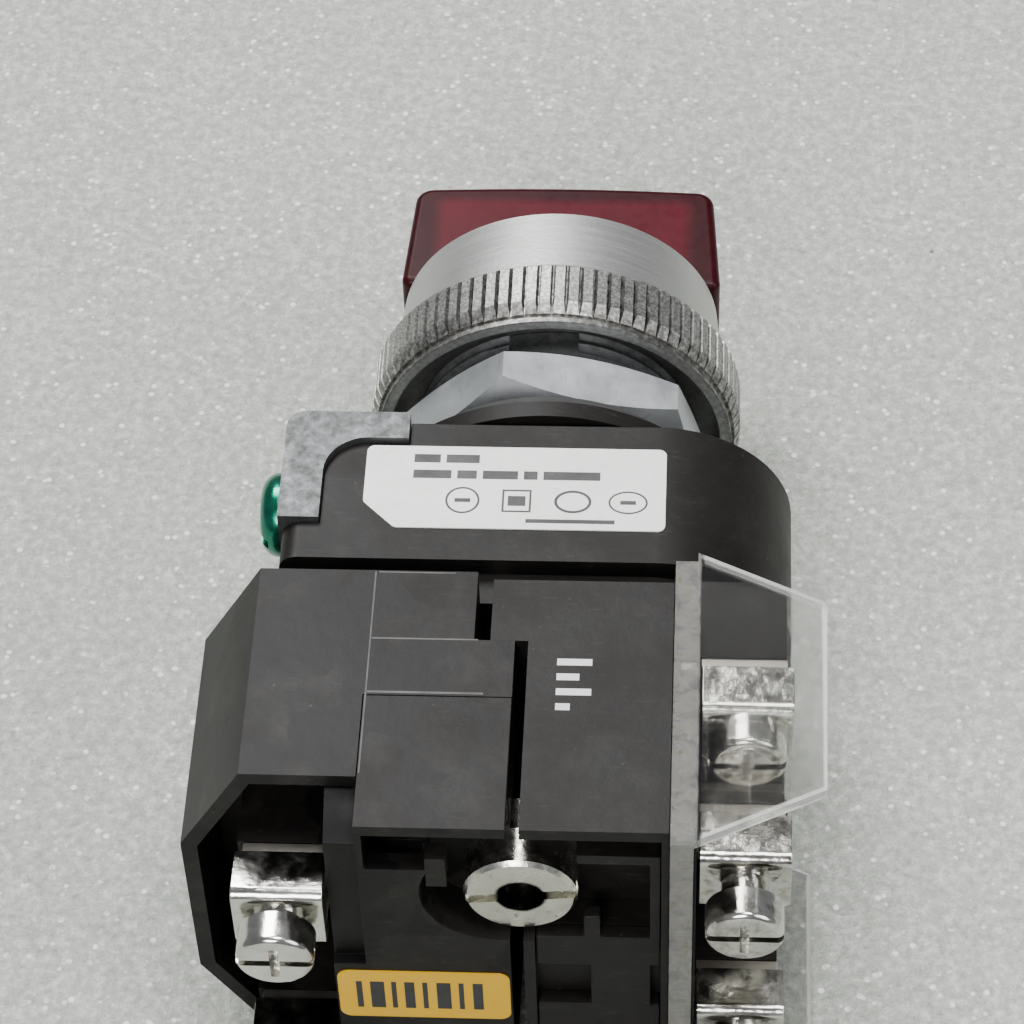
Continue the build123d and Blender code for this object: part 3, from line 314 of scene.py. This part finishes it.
def red_lens():
    """Dark translucent red plastic, with painted light: a brighter red where its thin wall covers
    the hollow.
    """
    made = Finish("red_lens", IOR=1.49, Transmission_Weight=0.1, Specular_IOR_Level=0.12)
    cloud = made.noise(6, 3)
    # Painted light: over the hollow, the thin wall gets a brighter red for light showing through
    # it.
    hollow = made.math(
        "MULTIPLY",
        made.between(made.axis("X"), *KNOB_HOLLOW_ACROSS, 1.6),
        made.between(made.axis("Y"), *KNOB_HOLLOW_ALONG, 1.4),
    )
    unlit_red = made.mix(cloud, (0.018, 0.0003, 0.002), (0.032, 0.0006, 0.003))
    lit = made.mix(cloud, (0.050, 0.0008, 0.005), (0.090, 0.0014, 0.009))
    made.colour(made.mix(hollow, unlit_red, lit))
    made.rough(made.steps(made.noise(1.2, 5), (0.3, 0.30), (0.7, 0.42)))
    made.bump((made.noise(3, 3), 0.02), (made.noise(0.4, 3), 0.004))
    return made.material


def clear_plastic():
    """Clear guard plastic, yellowed and dusty where it is seen through its depth, with a painted
    highlight along the flap's rims.
    """
    made = Finish("clear_plastic", IOR=1.45, Transmission_Weight=1.0, Alpha=0.9)
    low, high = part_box("clear_guard")
    across, along = made.axis("X"), made.axis("Y")
    spine = made.between(across, high.x / MM - 2.4, high.x / MM + 1, 0.4)
    stain = made.steps(made.noise(1.5, 5, 0.7), (0.42, 0.2), (0.7, 1))
    tint = made.math("MULTIPLY", spine, stain)
    made.colour(made.mix(tint, (0.985, 0.985, 0.97), (0.17, 0.145, 0.075)))
    out = made.math("SUBTRACT", FLAP_ROOT * MM, across)
    front = made.math("SUBTRACT", along, made.math("MULTIPLY", out, FLAP_FRONT_SLOPE))
    rear = made.math("ADD", along, made.math("MULTIPLY", out, FLAP_REAR_SLOPE))
    # Painted highlight: the flap's rims are made less clear, so they show as bright pale edges.
    rim = made.between(across, FLAP_ACROSS[0], low.x / MM + 0.5, 0.2)
    rim = made.math("MAXIMUM", rim, made.between(front, *FLAP_FRONT_RIM, 0.2))
    rim = made.math("MAXIMUM", rim, made.between(rear, *FLAP_REAR_RIM, 0.2))
    rim = made.math("MULTIPLY", rim, made.between(across, *FLAP_ACROSS, 0.3))
    tint_and_rim_highlight = made.math("ADD", made.math("MULTIPLY", rim, 0.3), made.math("MULTIPLY", tint, 0.45))
    made.feed(made.shader.inputs["Transmission Weight"], made.math("SUBTRACT", 1, tint_and_rim_highlight))
    smear = made.noise(5, 5, 0.65)
    made.rough(made.steps(smear, (0.45, 0.03), (0.8, 0.16)))
    made.bump((made.noise(4, 3), 0.015), (made.noise(0.7, 4), 0.002))
    return made.material


def sticker(name, colour, dirt):
    """Smooth printed film with a little dirt."""
    made = Finish(name, Specular_IOR_Level=0.5)
    grime = made.steps(made.noise(1.7, 6, 0.7), (0.52, 0), (0.85, 1))
    faint = made.noise(7, 3)
    shade = tuple(channel * 0.9 for channel in colour)
    base = made.mix(faint, colour, shade)
    made.colour(made.over(base, grime, dirt, (0.30, 0.28, 0.24)))
    made.rough(made.steps(faint, (0.3, 0.28), (0.7, 0.42)))
    made.bump((made.noise(2.5, 3), 0.02))
    return made.material


def plain(name, colour, roughness, metallic=0.0, spot=0.8):
    """A simple finish with a slight cloud, used where little shows."""
    made = Finish(name, Metallic=metallic)
    cloud = made.noise(3, 4)
    shade = tuple(channel * spot for channel in colour)
    made.colour(made.mix(cloud, colour, shade))
    made.rough(made.steps(cloud, (0.3, roughness * 0.85), (0.7, roughness * 1.15)))
    made.bump((made.noise(0.5, 4), 0.02))
    return made.material


def green_anodised():
    made = Finish("green_anodised", Metallic=0.9, Coat_Weight=0.4, Coat_Roughness=0.15)
    cloud = made.noise(1.5, 4)
    made.colour(made.mix(cloud, (0.0, 0.09, 0.05), (0.008, 0.24, 0.15)))
    made.rough(made.steps(cloud, (0.3, 0.16), (0.7, 0.32)))
    made.bump((made.noise(0.5, 3), 0.01))
    return made.material


def floor_finish():
    """Pale speckled grey board with a little glitter."""
    made = Finish("floor_finish", Specular_IOR_Level=0.5)
    fine = made.noise(1.1, 5, 0.8)
    lumps = made.noise(2.4, 5, 0.7)
    base = made.steps(
        fine, (0.32, (0.25, 0.265, 0.23)), (0.5, (0.43, 0.455, 0.405)), (0.66, (0.72, 0.745, 0.68))
    )
    base = made.over(base, lumps, 0.30, (0.52, 0.53, 0.50))
    base = made.over(base, made.noise(60, 2), 0.20, (0.42, 0.43, 0.40))
    glint = made.steps(made.specks(1.6), (0.16, 1), (0.26, 0))
    glint = made.math("MULTIPLY", glint, made.steps(made.noise(3, 3), (0.46, 0), (0.56, 1)))
    base = made.mix(glint, base, (0.95, 0.96, 0.93))
    grit = made.steps(made.specks(17), (0.012, 1), (0.026, 0))
    made.colour(made.over(base, grit, 0.8, (0.05, 0.045, 0.04)))
    made.rough(made.mix(glint, made.steps(fine, (0.35, 0.62), (0.7, 0.34)), (0.15, 0.15, 0.15)))
    made.bump((fine, 0.45), (lumps, 0.5))
    return made.material


black = black_plastic("black_plastic")
black_damp = black_plastic("black_plastic_damp", dusty=0.8, wet=0.8)
black_ring = black_plastic("black_ring", dusty=0.25)
bright = nickel("bright_nickel", 0.1)
tarnished = nickel("tarnished_nickel", 0.45)
copper = plain("copper_alloy", (0.72, 0.42, 0.26), 0.32, 1.0)
dull_plate = plain("dull_plate", (0.40, 0.37, 0.33), 0.42, 1.0)
ink = plain("dark_ink", (0.02, 0.02, 0.02), 0.5)
white_ink = plain("white_ink", (0.62, 0.64, 0.62), 0.5)
ridge_highlight_and_wear = plain("ridge_highlight_and_wear", (0.10, 0.095, 0.088), 0.6, spot=0.25)
beige = plain("beige_plastic", (0.52, 0.47, 0.38), 0.5)
rubber = plain("black_rubber", (0.02, 0.02, 0.02), 0.75, spot=1.8)
steel = plain("spring_steel", (0.55, 0.55, 0.54), 0.3, 1.0)

FINISHES = {
    "mounting_ring": ring_aluminium(),
    "operator_base": cast_zinc(),
    "hex_nut": pale_nut(),
    "panel_gasket": rubber,
    "rotor_seal": rubber,
    "thrust_washer": black_ring,
    "front_spacer": black_ring,
    "selector_knob": red_lens(),
    "lamp_diffuser": plain("milky_diffuser", (0.78, 0.70, 0.66), 0.4),
    "rotor_cam": beige,
    "retaining_clip": steel,
    "module_housing": black,
    "label_plate": sticker("label_white", (0.74, 0.74, 0.72), 0.35),
    "ground_screw": green_anodised(),
    "lamp_socket": beige,
    "led_lamp": plain("lamp_glass", (0.80, 0.70, 0.55), 0.12),
    "circuit_board": plain("board_green", (0.03, 0.20, 0.08), 0.35),
    "screw_insert": plain("turned_brass", (0.70, 0.53, 0.24), 0.28, 1.0),
    "adapter_plate": black,
    "left_case": black_damp,
    "left_cover": black_damp,
    "right_case": black,
    "right_cover": black,
    "marker_sticker": sticker("label_yellow", (0.68, 0.38, 0.0), 0.3),
    "mounting_screw": slotted_nickel(),
    "clear_guard": clear_plastic(),
}
for place in ("left_upper", "left_lower"):
    FINISHES["clamp_" + place] = FINISHES["screw_" + place] = bright
for place in ("right_upper", "right_lower", "front_upper", "front_lower"):
    FINISHES["clamp_" + place] = FINISHES["screw_" + place] = tarnished
for node in nodes:
    if node.startswith("strip_"):
        FINISHES[node] = dull_plate
    elif node.endswith("_bridge"):
        FINISHES[node] = copper
    elif node.endswith("_carrier"):
        FINISHES[node] = beige
    elif node.endswith("_spring"):
        FINISHES[node] = steel


def dress(node, material, edge):
    """Gives a CAD node its material and, where edge isn't 0, edges rounded by edge mm."""
    obj = nodes[node]
    obj.data.materials.clear()
    obj.data.materials.append(material)
    if edge:
        weld = obj.modifiers.new("weld", "WELD")
        weld.merge_threshold = 0.002 * MM
        bevel = obj.modifiers.new("bevel", "BEVEL")
        bevel.width = edge * MM
        bevel.segments = 2
        bevel.limit_method = "ANGLE"
        bevel.angle_limit = radians(40)
        bevel.use_clamp_overlap = True
        weighted = obj.modifiers.new("weighted", "WEIGHTED_NORMAL")
        weighted.weight = 100
        for face in obj.data.polygons:
            face.use_smooth = True


MOULDED = (
    "module_housing", "adapter_plate", "left_case", "left_cover", "right_case", "right_cover",
)
MOULDED_EDGE = 0.22
STAMPED_EDGE = 0.12
for node, material in FINISHES.items():
    if node in MOULDED:
        dress(node, material, MOULDED_EDGE)
    elif node.startswith(("clamp_", "strip_")):
        dress(node, material, STAMPED_EDGE)
    else:
        dress(node, material, 0)


# ---- Print: plain bars and rings that stand for the real markings, and pale bars for painted highlights on ridges ---
# A bar is (across from, across to, down from, down to), and a ring is (across, down,
# half width, half height, line, corners), both in millimetres of the frame.

def add_print(name, material, to_place, bars=(), rings=()):
    """Thin raised print on a face; to_place turns (across, down, height) into a point in mm."""
    thick = 0.02
    shapes = bmesh.new()

    def bridge(one, other):
        for k in range(len(one)):
            shapes.faces.new([one[k - 1], one[k], other[k], other[k - 1]])

    def wall(outer, inner=None):
        loops = [outer] if inner is None else [outer, inner]
        rows = [
            [[shapes.verts.new(to_place(a, b, h) * MM) for a, b in loop] for h in (0.0, thick)]
            for loop in loops
        ]
        for low, high in rows:
            bridge(low, high)
        if inner is None:
            for row in rows[0]:
                shapes.faces.new(row)
        else:
            for outside, inside in zip(*rows):
                bridge(outside, inside)

    for a0, a1, b0, b1 in bars:
        wall([(a0, b0), (a1, b0), (a1, b1), (a0, b1)])
    for centre_a, centre_b, wide, tall, line, corners in rings:
        start = pi / 4 if corners == 4 else 0
        angles = [start + 2 * pi * k / corners for k in range(corners)]
        wall(*(
            [(centre_a + (wide - inset) * cos(t), centre_b + (tall - inset) * sin(t))
             for t in angles]
            for inset in (0, line)
        ))
    bmesh.ops.recalc_face_normals(shapes, faces=shapes.faces)
    mesh = bpy.data.meshes.new(name)
    shapes.to_mesh(mesh)
    shapes.free()
    piece = bpy.data.objects.new(name, mesh)
    piece.data.materials.append(material)
    bpy.context.scene.collection.objects.link(piece)
    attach(piece, "switch")


label_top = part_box("label_plate")[1].z / MM
add_print(
    "label_print", ink, lambda a, b, h: Vector((a, b, label_top + h)),
    bars=[
        (13.3, 10.6, 19.3, 20.4), (10.0, 6.6, 19.3, 20.4),
        (13.3, 9.4, 21.4, 22.5), (8.8, 6.8, 21.4, 22.5), (6.2, 2.6, 21.4, 22.5),
        (2.0, 0.6, 21.4, 22.5), (0.0, -5.8, 21.4, 22.5), (1.6, -7.4, 27.7, 28.2),
        (8.9, 7.3, 25.1, 25.6), (3.5, 1.7, 24.7, 26.0), (-7.9, -9.5, 25.1, 25.6),
    ],
    rings=[
        (8.1, 25.35, 1.75, 1.75, 0.22, 28), (2.6, 25.35, 2.1, 2.1, 0.3, 4),
        (-3.1, 25.35, 1.9, 1.5, 0.3, 28), (-8.7, 25.35, 2.0, 1.5, 0.2, 28),
    ],
)
sticker_low, sticker_high = (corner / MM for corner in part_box("marker_sticker"))
add_print(
    "sticker_print", ink,
    lambda a, b, h: Vector((a, sticker_high.y + h, b)),
    bars=[
        (start, end, -8.6, -3.9)
        for start, end in (
            (17.3, 16.7), (15.9, 14.5), (13.8, 13.3), (12.5, 11.5),
            (10.7, 10.2), (9.3, 7.9), (7.1, 6.6), (5.7, 4.7),
        )
    ],
)
block_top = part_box("right_case")[1].z / MM
# Painted highlight, partly also real scratches: pale lines where moulded ridges on the block catch
# the light.
add_print(
    "ridge_highlight_and_wear_lines", ridge_highlight_and_wear, lambda a, b, h: Vector((a, b, block_top + h)),
    bars=[(15.8, 5.4, 45.2, 45.38), (15.9, 4.6, 51.7, 51.95), (16.0, 15.85, 37.0, 61.5),
          (15.6, 8.0, 36.95, 37.1)],
)
add_print(
    "block_print", white_ink, lambda a, b, h: Vector((a, b, block_top + h)),
    bars=[(-2.4, -5.8, 47.4, 48.2), (-2.4, -4.6, 49.2, 50.0), (-2.4, -5.8, 51.0, 51.8),
          (-2.4, -3.8, 52.8, 53.6)],
)


# ---- Studio ----------------------------------------------------------------------

def add_floor(drop):
    size = 1.2
    mesh = bpy.data.meshes.new("floor")
    corners = [(x * size, y * size, drop) for x, y in ((-1, -1), (1, -1), (1, 1), (-1, 1))]
    mesh.from_pydata(corners, [], [(0, 1, 2, 3)])
    floor = bpy.data.objects.new("floor", mesh)
    floor.data.materials.append(floor_finish())
    bpy.context.scene.collection.objects.link(floor)


def add_light(name, place, aim, size, power):
    data = bpy.data.lights.new(name, "AREA")
    data.shape = "DISK"
    data.size = size
    data.energy = power
    light = bpy.data.objects.new(name, data)
    light.location = place
    light.rotation_euler = (Vector(aim) - Vector(place)).to_track_quat("-Z", "Y").to_euler()
    bpy.context.scene.collection.objects.link(light)


def add_camera():
    """The camera stands behind and above the switch and looks down its axis."""
    place = Vector((-15.5, 266.1, 307.4)) * MM
    heading, tilt, roll = radians(-175.58), radians(39.85), radians(-2.4)
    turn = (
        Matrix.Rotation(heading, 4, "Z")
        @ Matrix.Rotation(tilt, 4, "X")
        @ Matrix.Rotation(roll, 4, "Z")
    )
    data = bpy.data.cameras.new("camera")
    data.lens = 130.3
    data.sensor_width = 36
    data.clip_start = 0.01
    camera = bpy.data.objects.new("camera", data)
    camera.matrix_world = Matrix.Translation(place) @ turn
    bpy.context.scene.collection.objects.link(camera)
    bpy.context.scene.camera = camera


def add_world(strength):
    world = bpy.data.worlds.new("studio")
    world.use_nodes = True
    background = world.node_tree.nodes["Background"]
    background.inputs["Color"].default_value = (0.93, 0.95, 1.0, 1)
    background.inputs["Strength"].default_value = strength
    bpy.context.scene.world = world


add_floor(cad_box[0].z - 0.05 * MM)
add_world(0.24)
add_light("key", (0.22, -0.40, 0.70), (0, 0.03, 0), 0.40, 9)
add_light("above", (-0.10, 0.05, 0.80), (0, 0.03, 0), 0.30, 4.5)
add_light("fill", (-0.6, 0.3, 0.5), (0, 0.03, 0), 0.5, 3)
add_light("camera_side", (0.10, 0.55, 0.40), (0, 0.03, 0), 0.25, 3)
add_camera()
